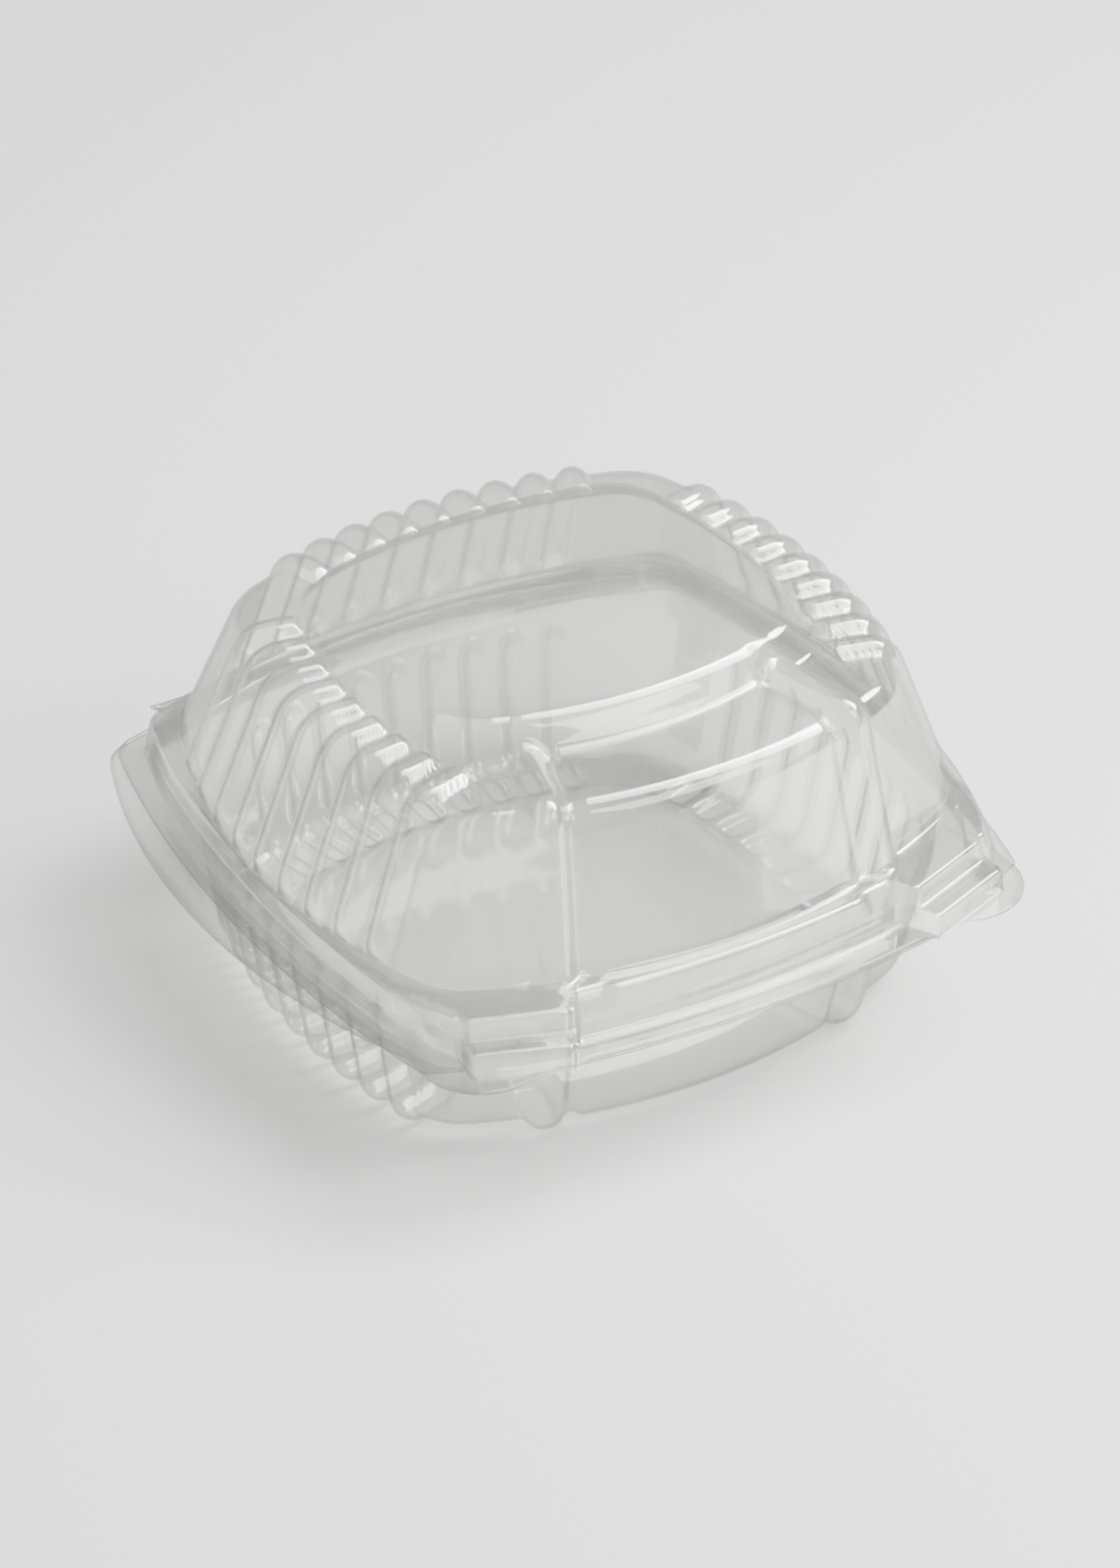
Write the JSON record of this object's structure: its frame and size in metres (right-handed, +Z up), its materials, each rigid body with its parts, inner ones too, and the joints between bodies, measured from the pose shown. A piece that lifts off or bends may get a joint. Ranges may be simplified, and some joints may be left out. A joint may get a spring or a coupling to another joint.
{
  "type": "plastic clamshell pack",
  "caption": "Clear moulded clamshell pack: a square ribbed tray and a domed ribbed lid joined by a living hinge, with snap blocks at the front corners.",
  "frame": {"origin": "on the table, under the middle of the pack's box", "axes": "+X along the opening edge, +Y towards the hinge, +Z up out of the lid"},
  "size_m": [0.1492, 0.1386, 0.0756],
  "materials": {
    "tray_sheet": "clear glossy thermoformed sheet",
    "lid_sheet": "clear glossy thermoformed sheet"
  },
  "bodies": {
    "tray": {"base_tray": "tray_sheet"},
    "lid": {"hinged_lid": "lid_sheet"}
  },
  "joints": [
    {"name": "lid_hinge", "type": "hinge", "parent": "tray", "child": "lid", "pos_m": [0, 0.06935, 0.03], "axis": [-1, 0, 0], "range_deg": [0, 180]}
  ]
}
